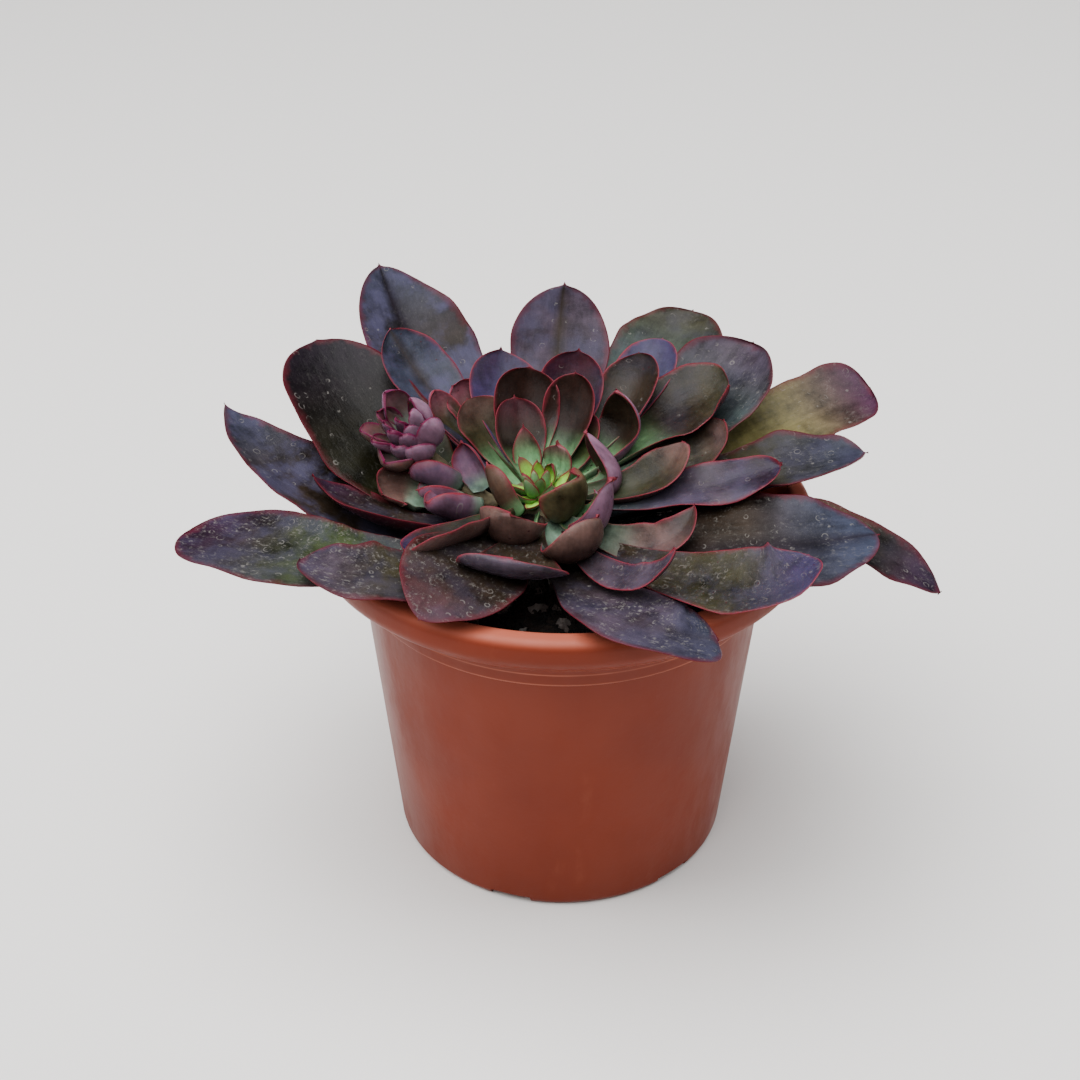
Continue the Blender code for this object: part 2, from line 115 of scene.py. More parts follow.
# Pot: one thin injection-moulded shell of terracotta coloured polypropylene, with a rolled lip,
# two fine steps in the wall under it, and a base notched so that the drain holes can run out.
# A corner of the outline is given as radius, height and the size of its rounding.
POT_OUTLINE = [
    (15.0, 0.0, 0.4), (16.0, 2.5, 0.4), (35.0, 2.5, 0.4), (36.0, 0.0, 0.4), (43.9, 0.0, 0.8),
    (45.1, 1.6, 0.8), (52.5, 77.9, 0.15), (52.95, 78.1, 0.15), (53.4, 81.5, 1.0), (54.2, 84.6, 2.5),
    (59.4, 87.8, 2.0), (62.1, 89.3, 0.15), (62.6, 89.5, 0.15), (64.95, 92.0, 2.2), (64.9, 98.2, 3.6),
    (59.6, 98.6, 1.7), (58.6, 96.0, 1.0), (58.0, 89.6, 1.5), (52.4, 84.6, 1.5), (51.0, 78.4, 1.0),
    (45.2, 20.3, 2.0), (43.4, 4.3, 1.6),
]
POT_STEPS = 180
NOTCH_TURNS = [73.0 + 60.0 * k for k in range(6)]
NOTCH_PLACE, NOTCH_SIZE = (40.0, 0.0, 0.0), (16.0, 11.0, 4.6)
DRAIN_TURNS = [103.0 + 60.0 * k for k in range(6)]
DRAIN_PLACE, DRAIN_SIZE = (25.0, 0.0, 3.4), (9.0, 9.0, 6.0)
SHARP_FROM = math.radians(32)
# Heights of the edges along which a thin pale line is painted as a highlight, and the heights between
# which the top of the lip is painted paler as a highlight.
PAINTED_EDGE_HIGHLIGHTS = (78.3, 81.5, 89.6)
PAINTED_LIP_HIGHLIGHT = (96.2, 98.5)


def on_arch(start, bend, end, share):
    """The point at a share of the way along an arch that starts and ends straight."""
    return start * (1 - share) ** 2 + bend * 2 * share * (1 - share) + end * share ** 2


def rounded(outline, steps=5):
    """The outline with each corner replaced by an arc of its own size, which takes up less than
    half of each side beside it."""
    soft = [outline[0][:2]]
    for before, corner, after in zip(outline, outline[1:], outline[2:]):
        here = Vector(corner[:2])
        back, on = Vector(before[:2]) - here, Vector(after[:2]) - here
        reach = min(corner[2], back.length * 0.48, on.length * 0.48)
        start, end = here + back.normalized() * reach, here + on.normalized() * reach
        soft += [tuple(on_arch(start, here, end, k / steps)) for k in range(steps + 1)]
    soft.append(outline[-1][:2])
    return soft


def skinned(name, rings, middles=None):
    """A closed piece over rings of points, whose ends are flat or run to the middles given."""
    shape = bmesh.new()
    loops = [[shape.verts.new([v / 1000 for v in point]) for point in ring] for ring in rings]
    sides = len(loops[0])
    for low, high in zip(loops, loops[1:]):
        for k in range(sides):
            shape.faces.new((low[k], low[(k + 1) % sides], high[(k + 1) % sides], high[k]))
    for end, loop in enumerate((loops[0], loops[-1])):
        if middles is None:
            shape.faces.new(loop)
        else:
            middle = shape.verts.new([v / 1000 for v in middles[end]])
            for k in range(sides):
                shape.faces.new((loop[k], loop[(k + 1) % sides], middle))
    bmesh.ops.recalc_face_normals(shape, faces=shape.faces)
    mesh = bpy.data.meshes.new(name)
    shape.to_mesh(mesh)
    shape.free()
    thing = bpy.data.objects.new(name, mesh)
    bpy.context.scene.collection.objects.link(thing)
    return thing


def spun(name, outline, steps):
    """A closed solid from an outline spun about the pot's axis; both its ends run to the axis."""
    turns = [2 * math.pi * k / steps for k in range(steps)]
    rings = [[(radius * math.cos(turn), radius * math.sin(turn), height) for turn in turns]
             for radius, height in outline]
    return skinned(name, rings, [(0.0, 0.0, outline[0][1]), (0.0, 0.0, outline[-1][1])])


def punched(thing, centre, size, turn, sides):
    """Cuts a block of four sides, or a round hole of many, through a piece."""
    cutter_mesh = bpy.data.meshes.new("cutter")
    shape = bmesh.new()
    bmesh.ops.create_cone(shape, cap_ends=True, segments=sides, radius1=0.5, radius2=0.5, depth=1.0)
    across, spin = (math.sqrt(2), 45) if sides == 4 else (1.0, 0)
    stretch = Matrix.Diagonal((size[0] * across / 1000, size[1] * across / 1000, size[2] / 1000, 1.0))
    place = Matrix.Rotation(math.radians(turn), 4, "Z") @ Matrix.Translation(Vector(centre) / 1000)
    whole = place @ stretch @ Matrix.Rotation(math.radians(spin), 4, "Z")
    bmesh.ops.transform(shape, matrix=whole, verts=shape.verts)
    shape.to_mesh(cutter_mesh)
    shape.free()
    cutter = bpy.data.objects.new("cutter", cutter_mesh)
    bpy.context.scene.collection.objects.link(cutter)
    step = thing.modifiers.new("punch", "BOOLEAN")
    step.operation = "DIFFERENCE"
    step.solver = "EXACT"
    step.object = cutter
    seen = thing.evaluated_get(bpy.context.evaluated_depsgraph_get())
    cut_mesh = bpy.data.meshes.new_from_object(seen)
    thing.modifiers.clear()
    thing.data = cut_mesh
    bpy.data.objects.remove(cutter, do_unlink=True)


pot = spun("nursery_pot", rounded(POT_OUTLINE), POT_STEPS)
for turn in NOTCH_TURNS:
    punched(pot, NOTCH_PLACE, NOTCH_SIZE, turn, sides=4)
for turn in DRAIN_TURNS:
    punched(pot, DRAIN_PLACE, DRAIN_SIZE, turn, sides=40)
pot.data.shade_smooth()
pot.data.set_sharp_from_angle(angle=SHARP_FROM)


class Term:
    """A node's output in a formula. Each sign between terms, or a term and a plain number, adds the
    math node that it stands for. A vector or colour times a number is scaled."""

    def __init__(self, tree, socket):
        self.tree = tree
        self.socket = socket
        self.is_vector = socket.type in ("VECTOR", "RGBA")

    def reckon(self, operation, *others, clamp=False):
        """The answer of a math node that starts from this term."""
        return added(self.tree, "ShaderNodeMath", dict(enumerate((self, *others))),
                     operation=operation, use_clamp=clamp)

    def steer(self, operation, other=None, output="Vector"):
        """The answer of a vector math node that starts from this term."""
        inputs = {0: self}
        if other is not None:
            inputs["Scale" if operation == "SCALE" else 1] = other
        return added(self.tree, "ShaderNodeVectorMath", inputs, output, operation=operation)

    def __add__(self, other):
        return self.steer("ADD", other) if self.is_vector else self.reckon("ADD", other)

    def __sub__(self, other):
        return self.steer("SUBTRACT", other) if self.is_vector else self.reckon("SUBTRACT", other)

    def __rsub__(self, number):
        return added(self.tree, "ShaderNodeMath", {0: number, 1: self}, operation="SUBTRACT")

    def __rtruediv__(self, number):
        return added(self.tree, "ShaderNodeMath", {0: number, 1: self}, operation="DIVIDE")

    def __mul__(self, other):
        return self.steer("SCALE", other) if self.is_vector else self.reckon("MULTIPLY", other)

    def __truediv__(self, other):
        return self.reckon("DIVIDE", other)

    def __pow__(self, other):
        return self.reckon("POWER", other)

    def __abs__(self):
        return self.reckon("ABSOLUTE")

    def beside(self, name):
        """Another output of the same node."""
        return Term(self.tree, self.socket.node.outputs[name])


def join_value(socket, value):
    """Gives a node's input a term, or a plain value."""
    if isinstance(value, Term):
        value.tree.links.new(value.socket, socket)
    else:
        socket.default_value = value


def added(tree, kind, inputs=None, output=0, **options):
    """The output of a new node, with its options set and its inputs given by place or by name."""
    node = tree.nodes.new(kind)
    for option, value in options.items():
        setattr(node, option, value)
    for place, value in (inputs or {}).items():
        join_value(node.inputs[place], value)
    return Term(tree, node.outputs[output])


def split_apart(whole, kind="XYZ"):
    """The three numbers of a vector, or of a colour."""
    first = added(whole.tree, "ShaderNodeSeparate" + kind, {0: whole})
    return [Term(whole.tree, socket) for socket in first.socket.node.outputs]


def eased(value, low, high, first=0.0, last=1.0, kind="SMOOTHSTEP"):
    """A soft step from first to last as value goes from low to high."""
    return added(value.tree, "ShaderNodeMapRange", dict(enumerate((value, low, high, first, last))),
                 interpolation_type=kind)


def blended(share, first, second):
    """Two colours mixed by a share."""
    return added(share.tree, "ShaderNodeMix", {0: share, 6: first, 7: second}, 2, data_type="RGBA")


def grain(where, scale, detail=2.0, roughness=0.5, kind="3D"):
    """Noise between 0 and 1, mostly near a half."""
    inputs = {"W" if kind == "1D" else "Vector": where, "Scale": scale, "Detail": detail,
              "Roughness": roughness}
    return added(where.tree, "ShaderNodeTexNoise", inputs, noise_dimensions=kind)


def cells(where, scale):
    """How far the nearest of many scattered points is, with that point's colour beside it."""
    return added(where.tree, "ShaderNodeTexVoronoi", {"Vector": where, "Scale": scale}, "Distance")


def new_finish(name, **plain):
    """A new material, with plain numbers on its shader's own sockets."""
    finish = bpy.data.materials.new(name)
    finish.use_nodes = True
    for socket, value in plain.items():
        finish.node_tree.nodes["Principled BSDF"].inputs[socket.replace("_", " ")].default_value = value
    return finish


def on_piece(finish):
    """Where a point is on the piece that has this material."""
    return added(finish.node_tree, "ShaderNodeTexCoord", output="Object")


def dress(finish, colour, roughness, height, strength, distance):
    """Joins a material's colour, roughness and fine relief, from a height in metres, to its shader."""
    relief = {"Strength": strength, "Distance": distance, "Height": height}
    shader = finish.node_tree.nodes["Principled BSDF"]
    join_value(shader.inputs["Base Color"], colour)
    join_value(shader.inputs["Roughness"], roughness)
    join_value(shader.inputs["Normal"], added(finish.node_tree, "ShaderNodeBump", relief))


def paint(red, green, blue):
    """A screen colour, 0 to 255, as the light that it stands for by the screen's own curve."""
    return tuple((v / 255 / 12.92) if v < 10.3 else ((v / 255 + 0.055) / 1.055) ** 2.4
                 for v in (red, green, blue)) + (1.0,)


pot_finish = new_finish("terracotta coloured plastic", Specular_IOR_Level=0.14)
where = on_piece(pot_finish)
height = split_apart(where)[2]
clouds = grain(where, 28.0, 3.0)
smudges = grain(where.steer("MULTIPLY", (1.0, 1.0, 0.35)), 75.0, 5.0, 0.65)
dust = grain(where, 420.0, 3.0, 0.7)
flecks = cells(where, 95.0)
dots = eased(flecks, 0.05, 0.1, 1.0, 0.0) * flecks.beside("Color").reckon("GREATER_THAN", 0.93)
colour = blended(eased(clouds, 0.3, 0.7), paint(103, 36, 17), paint(112, 42, 22))
colour = blended(eased(smudges, 0.6, 0.85, 0.0, 0.15), colour, paint(180, 108, 84))
colour = blended(dots * 0.6, colour, paint(214, 178, 150))
colour = blended(eased(dust, 0.62, 0.8, 0.0, 0.25), colour, paint(120, 56, 42))
# Thin pale lines along the step edges under the lip, patchy: a painted highlight.
for edge in PAINTED_EDGE_HIGHLIGHTS:
    edge_highlight = eased(abs(height - edge / 1000), 0.00012, 0.0003, 1.0, 0.0) * eased(clouds, 0.35, 0.6, 0.08, 0.35)
    colour = blended(edge_highlight, colour, paint(196, 118, 92))
# The top of the lip is painted paler towards its crest: a painted highlight.
lip_highlight = eased(height, PAINTED_LIP_HIGHLIGHT[0] / 1000, PAINTED_LIP_HIGHLIGHT[1] / 1000, 0.0, 0.55)
colour = blended(lip_highlight, colour, paint(176, 96, 76))
dress(pot_finish, colour, eased(smudges, 0.35, 0.75, 0.36, 0.56), clouds * 0.8 + dust, 0.12, 0.0004)
pot.data.materials.append(pot_finish)
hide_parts("pot")
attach(pot, "root")

# Soil: dark, crumbly peat that fills the pot to a finger's width under the lip. Loose crumbs lie
# on it, and a few pale grains of grit. The bare stem of the rosette stands in it.
SOIL_SIDE = [(41.8, 4.6), (43.2, 6.0), (44.8, 20.3), (50.6, 78.4), (50.9, 80.7)]
SOIL_TOP, SOIL_EDGE, SOIL_STEPS = 81.5, 50.5, 168
RING_GAP, RING_COUNT = 0.85, 59
soil_rings = [(SOIL_EDGE - RING_GAP * k, SOIL_TOP) for k in range(RING_COUNT)]
soil_body = spun("soil body", SOIL_SIDE + soil_rings, SOIL_STEPS)


def add_sockets(tree, in_out, kind, names):
    """Adds sockets of one kind to a tree, from their names or from names with usual values."""
    for name in names:
        socket = tree.interface.new_socket(name, in_out=in_out, socket_type="NodeSocket" + kind)
        if isinstance(names, dict):
            socket.default_value = names[name]


def inputs_of(tree):
    """A tree's own inputs, each under its name."""
    sockets = tree.nodes.new("NodeGroupInput").outputs
    return {socket.name: Term(tree, socket) for socket in sockets if socket.name}


def soil_tree():
    """A crumbly top: the body's upper face is roughened and strewn with crumbs and grit."""
    tree = bpy.data.node_groups.new("Potting soil", "GeometryNodeTree")
    add_sockets(tree, "OUTPUT", "Geometry", ["Soil"])
    add_sockets(tree, "INPUT", "Geometry", ["Body"])
    add_sockets(tree, "INPUT", "Float", ["Top", "Lumps", "Crumbs Per Square Metre", "Crumbs Size",
                                         "Grit Per Square Metre", "Grit Size"])
    add_sockets(tree, "INPUT", "Int", ["Seed"])
    add_sockets(tree, "INPUT", "Material", ["Soil Material", "Grit Material"])
    given = inputs_of(tree)
    where = added(tree, "GeometryNodeInputPosition")
    half_millimetre, full_turn = 0.0005, 6.283
    on_top = split_apart(where)[2].reckon("GREATER_THAN", given["Top"] - half_millimetre)
    rough = (grain(where, 110.0, 2.0, 0.6) - 0.5) * 1.6 + (grain(where, 520.0, 4.0, 0.7) - 0.5) * 0.9
    lift = added(tree, "ShaderNodeCombineXYZ", {"Z": rough * given["Lumps"] * on_top})
    shaped = added(tree, "GeometryNodeSetPosition", {"Geometry": given["Body"], "Offset": lift})
    whole = tree.nodes.new("GeometryNodeJoinGeometry")
    for name, material, slimmest, rounds in (("Crumbs", "Soil Material", 0.65, 1),
                                             ("Grit", "Grit Material", 0.4, 2)):
        size = given[name + " Size"]
        stone = added(tree, "GeometryNodeMeshIcoSphere", {"Subdivisions": rounds, "Radius": size * 0.5})
        dent = added(tree, "ShaderNodeTexNoise", {"Scale": 700.0}, "Color") - (0.5, 0.5, 0.5)
        chipped = added(tree, "GeometryNodeSetPosition", {"Geometry": stone, "Offset": dent * (size * 0.9)})
        strewn = added(tree, "GeometryNodeDistributePointsOnFaces", {
            "Mesh": shaped, "Selection": on_top, "Density": given[name + " Per Square Metre"],
            "Seed": given["Seed"]})
        turned = added(tree, "FunctionNodeRandomValue", {"Max": (full_turn, full_turn, full_turn)},
                       data_type="FLOAT_VECTOR")
        sized = added(tree, "FunctionNodeRandomValue", {
            "Min": (slimmest, slimmest, slimmest * 0.7), "Max": (1.5, 1.2, 1.0), "Seed": 5},
            data_type="FLOAT_VECTOR")
        laid = added(tree, "GeometryNodeInstanceOnPoints", {
            "Points": strewn, "Instance": chipped, "Rotation": turned, "Scale": sized})
        real = added(tree, "GeometryNodeRealizeInstances", {0: laid})
        join_value(whole.inputs[0], added(tree, "GeometryNodeSetMaterial", {
            "Geometry": real, "Material": given[material]}))
    join_value(whole.inputs[0], added(tree, "GeometryNodeSetMaterial", {
        "Geometry": shaped, "Material": given["Soil Material"]}))
    join_value(tree.nodes.new("NodeGroupOutput").inputs[0], Term(tree, whole.outputs[0]))
    return tree


def grown(name, tree, settings, base=None):
    """A plain mesh object that a tree of nodes makes with these settings, out of a base if given."""
    carrier = bpy.data.objects.new(name, base or bpy.data.meshes.new(name))
    bpy.context.scene.collection.objects.link(carrier)
    step = carrier.modifiers.new(tree.name, "NODES")
    step.node_group = tree
    for item in tree.interface.items_tree:
        if item.in_out == "INPUT" and item.name in settings:
            step[item.identifier] = settings[item.name]
    graph = bpy.context.evaluated_depsgraph_get()
    mesh = bpy.data.meshes.new_from_object(carrier.evaluated_get(graph), preserve_all_data_layers=True,
                                           depsgraph=graph)
    carrier.modifiers.remove(step)
    carrier.data = mesh
    mesh.name = name
    return carrier


soil_finish = new_finish("peat")
where = on_piece(soil_finish)
damp = grain(where, 160.0, 4.0, 0.7)
fibre = grain(where, 900.0, 3.0, 0.7)
colour = blended(eased(damp, 0.35, 0.7), paint(20, 16, 16), paint(52, 40, 34))
colour = blended(eased(fibre, 0.6, 0.75, 0.0, 0.7), colour, paint(88, 66, 50))
dress(soil_finish, colour, eased(damp, 0.3, 0.7, 0.8, 1.0), fibre, 0.7, 0.0006)
grit_finish = new_finish("pale grit")
where = on_piece(grit_finish)
pits = grain(where, 1500.0, 3.0, 0.7)
colour = blended(eased(grain(where, 120.0, 1.0), 0.4, 0.6), paint(104, 93, 89), paint(154, 146, 142))
colour = blended(eased(pits, 0.5, 0.75, 0.0, 0.7), colour, paint(70, 58, 54))
dress(grit_finish, colour, eased(pits, 0.3, 0.7, 0.75, 0.95), pits, 0.5, 0.0003)
soil = grown("potting_soil", soil_tree(), {
    "Top": SOIL_TOP / 1000, "Lumps": 0.0032, "Crumbs Per Square Metre": 420000.0, "Crumbs Size": 0.0017,
    "Grit Per Square Metre": 16000.0, "Grit Size": 0.0042, "Seed": 4,
    "Soil Material": soil_finish, "Grit Material": grit_finish}, soil_body.data)
bpy.data.objects.remove(soil_body, do_unlink=True)
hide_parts("soil")
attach(soil, "root")

# Outer leaves: thick, fleshy spoon-shaped blades that spring from the lower stem and lie over the
# lip. Each narrows to a neck, ends in a small hard point and has a thin red margin. Lime from old
# water drops has left pale rings on them. Blue patches are painted on them, partly a waxy coat that
# is rubbed off in places and partly a painted sheen.


def leaf_tree():
    """One leaf along an arch from root through knee to tip, closed all round, with what its
    material needs stored on it: colour, place on the blade, distance to the margin, and marks."""
    tree = bpy.data.node_groups.new("Leaf blade", "GeometryNodeTree")
    add_sockets(tree, "OUTPUT", "Geometry", ["Leaf"])
    add_sockets(tree, "INPUT", "Vector", ["Root", "Knee", "Tip"])
    add_sockets(tree, "INPUT", "Float", ["Width", "Thickness", "Cup", "Wax And Sheen", "Marks", "Specks", "Seed"])
    add_sockets(tree, "INPUT", "Float", {
        "Roll": 0.0, "Neck": 0.3, "Belly": 0.66, "Blunt": 2.2, "Taper": 2.0, "Point": 1.0, "Ripple": 1.0,
        "Crease": 0.4, "Lip": 0.0})
    add_sockets(tree, "INPUT", "Int", ["Stations", "Sides"])
    add_sockets(tree, "INPUT", "Color", ["Root Colour", "Middle Colour", "Tip Colour", "Under Colour"])
    add_sockets(tree, "INPUT", "Material", ["Skin"])
    given = inputs_of(tree)
    flat = added(tree, "GeometryNodeMeshGrid", {
        "Size X": 1.0, "Size Y": 1.0, "Vertices X": given["Sides"], "Vertices Y": given["Stations"]})
    across_flat, along_flat, _ = split_apart(added(tree, "GeometryNodeInputPosition"))
    # along runs from root to tip, closer together at the tip; around runs once about the blade
    row = along_flat.reckon("ADD", 0.5, clamp=True)
    along = 1.0 - (1.0 - row) ** 1.7
    rest = 1.0 - along
    around = (across_flat + 0.5) * (2 * math.pi)
    across = around.reckon("COSINE")
    height = around.reckon("SINE")
    top = height.reckon("GREATER_THAN", 0.0)
    out = abs(across)
    # the arch and the frame that is carried along it
    root, knee, tip = given["Root"], given["Knee"], given["Tip"]
    handle = knee * 2.0 - (root + tip) * 0.5
    first = handle - root
    last = tip - handle
    length = root.steer("DISTANCE", knee, "Value") + knee.steer("DISTANCE", tip, "Value")
    middle = root * (rest * rest) + (handle * (rest * along * 2.0) + tip * (along * along))
    ahead = (first * rest + last * along).steer("NORMALIZE")
    start = first.steer("NORMALIZE")
    hinge = first.steer("CROSS_PRODUCT", last).steer("NORMALIZE")
    level = start.steer("CROSS_PRODUCT", (0.0, 0.0, -1.0)).steer("NORMALIZE")
    on_hinge = level.steer("DOT_PRODUCT", hinge, "Value")
    on_cross = level.steer("DOT_PRODUCT", hinge.steer("CROSS_PRODUCT", start), "Value")
    level = hinge * on_hinge + hinge.steer("CROSS_PRODUCT", ahead) * on_cross
    over = ahead.steer("CROSS_PRODUCT", level)
    roll = given["Roll"].reckon("RADIANS")
    sine, cosine = roll.reckon("SINE"), roll.reckon("COSINE")
    side = level * cosine + over * sine
    up = over * cosine - level * sine
    # outline: neck, belly, blunt end and the small hard point beyond it
    nib = given["Point"] / length
    blade = along.reckon("DIVIDE", 1.0 - nib * 0.8, clamp=True)
    swell = eased(blade, 0.0, given["Belly"], given["Neck"], 1.0)
    past = (blade - given["Belly"]).reckon("DIVIDE", 1.0 - given["Belly"], clamp=True)
    close = (1.0 - past ** given["Blunt"]) ** (1.0 / given["Taper"])
    edge_run = along * (length * 0.06) + (across.reckon("SIGN") * 9.0 + given["Seed"] * 3.7)
    wobble = grain(edge_run, 1.0, 1.0, 0.4, "1D") - 0.5
    bulge = grain(edge_run + 31.0, 0.7, 1.0, 0.4, "1D") - 0.5
    half = swell * close * (given["Width"] * 0.5)
    half = half * (bulge * given["Ripple"] * 0.16 + 1.0)
    spike = given["Point"] * (rest.reckon("DIVIDE", nib, clamp=True) * 0.36)
    half = (half * half + spike * spike).reckon("SQRT")
    past_root = row.reckon("GREATER_THAN", 0.001)
    half = half * past_root
    # section: full in the middle, thin and rounded at the margin, and bent across into a channel
    fleshy = given["Thickness"] * (eased(along, 0.0, 0.3, 0.8, 1.0) * eased(along, 0.3, 1.0, 1.0, 0.5))
    fleshy = fleshy * past_root * close.reckon("SQRT") + spike * 0.8
    lens = fleshy * (0.5 - across * across * 0.36)
    bow = height.reckon("SIGN") * abs(height) ** 0.7
    depth = lens * (1.0 - bow)
    bend = given["Cup"].reckon("RADIANS")
    radius = half / bend + depth
    swing = bend * across
    shift = swing.reckon("SINE") * radius
    lift = (1.0 - swing.reckon("COSINE")) * radius - depth
    wave = wobble * given["Ripple"] * (out ** 3.0 * eased(along, 0.15, 0.6, 0.0, 4.5))
    groove = given["Crease"] * (eased(out, 0.0, 0.3, 1.0, 0.0) * eased(along, 0.2, 0.5))
    groove = groove * (top * eased(along, 0.8, 1.0, 1.0, 0.0))
    rolled = given["Lip"] * (out ** 5.0 * eased(along, 0.3, 0.8))
    place = middle + (side * shift + up * (lift + wave - (groove + rolled)))
    # what the skin needs: colours, the distance to the margin, the marks, and a place on the blade in
    # millimetres that gives each leaf, and each side of it, its own part of the patterns
    on_blade = added(tree, "ShaderNodeCombineXYZ", {
        "X": across * half, "Y": along * length, "Z": given["Seed"] * 41.3 + top * 17.0})
    margin = ((1.0 - out) * half).reckon("MINIMUM", rest * length)
    midrib = eased(out, 0.04, 0.24, 1.0, 0.0) * (eased(given["Crease"], 0.5, 1.2) * eased(along, 0.3, 0.55))
    marks = added(tree, "ShaderNodeCombineXYZ", {
        "X": given["Wax And Sheen"] * (1.0 - midrib), "Y": given["Marks"], "Z": given["Specks"]})
    upper = blended(eased(along, 0.12, 0.52), given["Root Colour"], given["Middle Colour"])
    upper = blended(eased(along, 0.55, 1.0), upper, given["Tip Colour"])
    upper = blended(midrib, upper, given["Root Colour"])
    lower = blended(eased(along, 0.05, 0.4), given["Root Colour"], given["Under Colour"])
    stored = flat
    for name, kind, value in (("leaf_colour", "FLOAT_COLOR", blended(top, lower, upper)),
                              ("leaf_place", "FLOAT_VECTOR", on_blade), ("leaf_margin", "FLOAT", margin),
                              ("leaf_marks", "FLOAT_VECTOR", marks), ("leaf_along", "FLOAT", along)):
        stored = added(tree, "GeometryNodeStoreNamedAttribute", {
            "Name": name, "Geometry": stored, "Value": value}, data_type=kind, domain="POINT")
    # the leaf is handed over in metres, with points that lie this close together as one
    metres, meeting = 0.001, 0.000008
    shaped = added(tree, "GeometryNodeSetPosition", {"Geometry": stored, "Position": place * metres})
    welded = added(tree, "GeometryNodeMergeByDistance", {"Geometry": shaped, "Distance": meeting})
    smooth = added(tree, "GeometryNodeSetShadeSmooth", {"Geometry": welded})
    real = added(tree, "GeometryNodeRealizeInstances", {0: smooth})
    coloured = added(tree, "GeometryNodeSetMaterial", {"Geometry": real, "Material": given["Skin"]})
    join_value(tree.nodes.new("NodeGroupOutput").inputs[0], coloured)
    return tree


def skin_group():
    """The skin of a leaf: blue waxy patches with a painted sheen, faint streaks, lime rings and flecks, dark
    specks, red margin.
    """
    group = bpy.data.node_groups.new("Leaf skin", "ShaderNodeTree")
    add_sockets(group, "INPUT", "Color", ["Colour", "Bloom Colour", "Margin Colour", "Lime Colour",
                                          "Speck Colour"])
    add_sockets(group, "INPUT", "Vector", ["Place", "Marks"])
    add_sockets(group, "INPUT", "Float", ["Margin", "Margin Width", "Blush Width", "Along"])
    add_sockets(group, "OUTPUT", "Color", ["Colour"])
    add_sockets(group, "OUTPUT", "Float", ["Roughness", "Height"])
    given = inputs_of(group)
    where = given["Place"]
    wax_and_sheen_share, lime_share, speck_share = split_apart(given["Marks"])
    # uneven green and brown under the skin, and faint streaks along the blade
    patches = grain(where, 0.11, 7.0, 0.66)
    streaks = grain(where.steer("MULTIPLY", (1.0, 0.2, 1.0)), 0.5, 4.0, 0.65)
    colour = given["Colour"] * eased(patches * 1.35 + streaks * 0.45, 0.6, 1.2, 0.25, 1.8, "LINEAR")
    # blue patches: a waxy coat rubbed off in places, and a painted sheen
    cover = eased(grain(where + (70.0, 20.0, 5.0), 0.085, 4.0, 0.6), 0.4, 0.62)
    cover = cover * (wax_and_sheen_share * eased(streaks, 0.3, 0.65, 0.7, 1.0))
    colour = blended(cover, colour, given["Bloom Colour"])
    # lime rings and crescents where drops dried, and scaly flecks between them
    drops = cells(where, 0.34)
    ring_size, luck, _ = split_apart(drops.beside("Color"), "Color")
    ring = abs(drops - eased(ring_size, 0.0, 1.0, 0.12, 0.34, "LINEAR"))
    ring = eased(ring, 0.015, 0.06, 1.0, 0.0) * lime_share.reckon("GREATER_THAN", luck)
    ring = ring * eased(grain(where, 0.55, 3.0, 0.7), 0.45, 0.6)
    scales = eased(grain(where.steer("MULTIPLY", (1.0, 0.6, 1.0)), 1.1, 5.0, 0.72), 0.53, 0.66)
    scales = scales * eased(grain(where, 0.12, 2.0), 0.35, 0.6)
    lime = (ring * 0.85).reckon("ADD", scales * lime_share * 0.75, clamp=True)
    colour = blended(lime * 0.4, colour, given["Lime Colour"])
    # fine dust, and dark specks
    dust = grain(where, 2.6, 4.0, 0.8)
    dusty = eased(dust, 0.56, 0.76) * eased(lime_share, 0.0, 1.0, 0.08, 0.36, "LINEAR")
    colour = blended(dusty, colour, given["Lime Colour"])
    spots = cells(where, 0.42)
    speck_luck = split_apart(spots.beside("Color"), "Color")[2]
    spot = eased(spots, 0.08, 0.16, 1.0, 0.0) * (speck_share * 0.5).reckon("GREATER_THAN", speck_luck)
    colour = blended(spot * 0.8, colour, given["Speck Colour"])
    # blush towards the margin, and the red line on it
    uneven = eased(grain(where, 0.4, 2.0), 0.3, 0.7, 0.6, 1.5, "LINEAR")
    blush = eased(given["Margin"], 0.0, given["Blush Width"] * uneven, 0.5, 0.0)
    colour = blended(blush * eased(given["Along"], 0.25, 0.7), colour, given["Margin Colour"])
    line_end = given["Margin Width"] * uneven
    line = eased(given["Margin"], line_end * 0.7, line_end, 1.0, 0.0)
    colour = blended(line * eased(given["Along"], 0.12, 0.5, 0.1, 0.9), colour, given["Margin Colour"])
    gloss = eased(patches, 0.3, 0.7, 0.26, 0.4, "LINEAR") + (cover * 0.16 + lime * 0.25)
    relief = streaks * 0.6 + (lime * 0.35 + dust * 0.25) + patches * 1.2
    leaving = group.nodes.new("NodeGroupOutput")
    for name, value in (("Colour", colour), ("Roughness", gloss), ("Height", relief)):
        join_value(leaving.inputs[name], value)
    return group


LEAF_BLADE = leaf_tree()
LEAF_SKIN = skin_group()


def leaf_material(name, wax_and_sheen, margin, lime, speck, margin_width, blush_width, **plain):
    """A leaf's material: the shared skin with this kind of leaf's own colours."""
    finish = new_finish(name, **plain)
    tree = finish.node_tree
    stored = {socket: added(tree, "ShaderNodeAttribute", output=output, attribute_name=attribute)
              for socket, attribute, output in (
                  ("Colour", "leaf_colour", "Color"), ("Place", "leaf_place", "Vector"),
                  ("Marks", "leaf_marks", "Vector"), ("Margin", "leaf_margin", "Fac"),
                  ("Along", "leaf_along", "Fac"))}
    skin = added(tree, "ShaderNodeGroup", node_tree=LEAF_SKIN, output="Colour", inputs={
        **stored, "Bloom Colour": wax_and_sheen, "Margin Colour": margin, "Lime Colour": lime,
        "Speck Colour": speck, "Margin Width": margin_width, "Blush Width": blush_width})
    dress(finish, skin, skin.beside("Roughness"), skin.beside("Height"), 0.35, 0.0006)
    return finish


